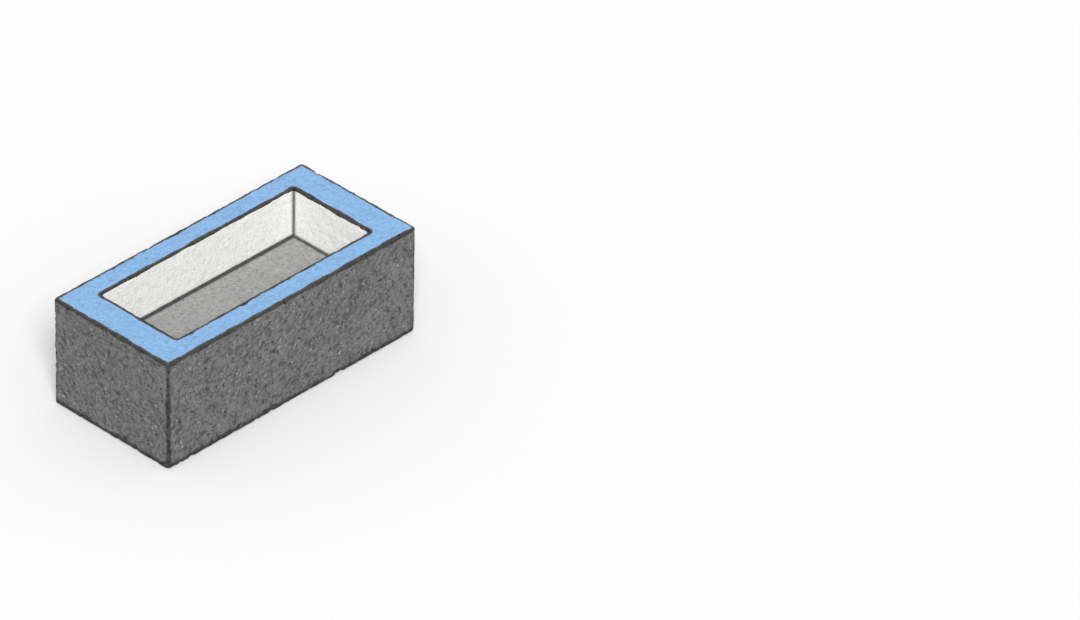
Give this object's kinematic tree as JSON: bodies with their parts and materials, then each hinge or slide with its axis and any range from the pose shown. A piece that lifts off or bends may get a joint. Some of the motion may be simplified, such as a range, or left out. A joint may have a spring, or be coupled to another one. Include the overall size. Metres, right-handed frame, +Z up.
{
  "type": "fly ash brick",
  "caption": "Rectangular pressed fly ash brick with a deep, straight-sided frog in its upper bed, a flat rim round the frog's mouth and a plain lower bed.",
  "frame": {"origin": "middle of the lower bed, where the brick stands", "axes": "+X along the length, +Y across the width, +Z up, out of the upper bed and the frog's mouth"},
  "size_m": [0.194, 0.092, 0.071],
  "materials": {
    "fly_ash": "matte"
  },
  "bodies": {
    "root": {"brick": "fly_ash"}
  },
  "joints": []
}
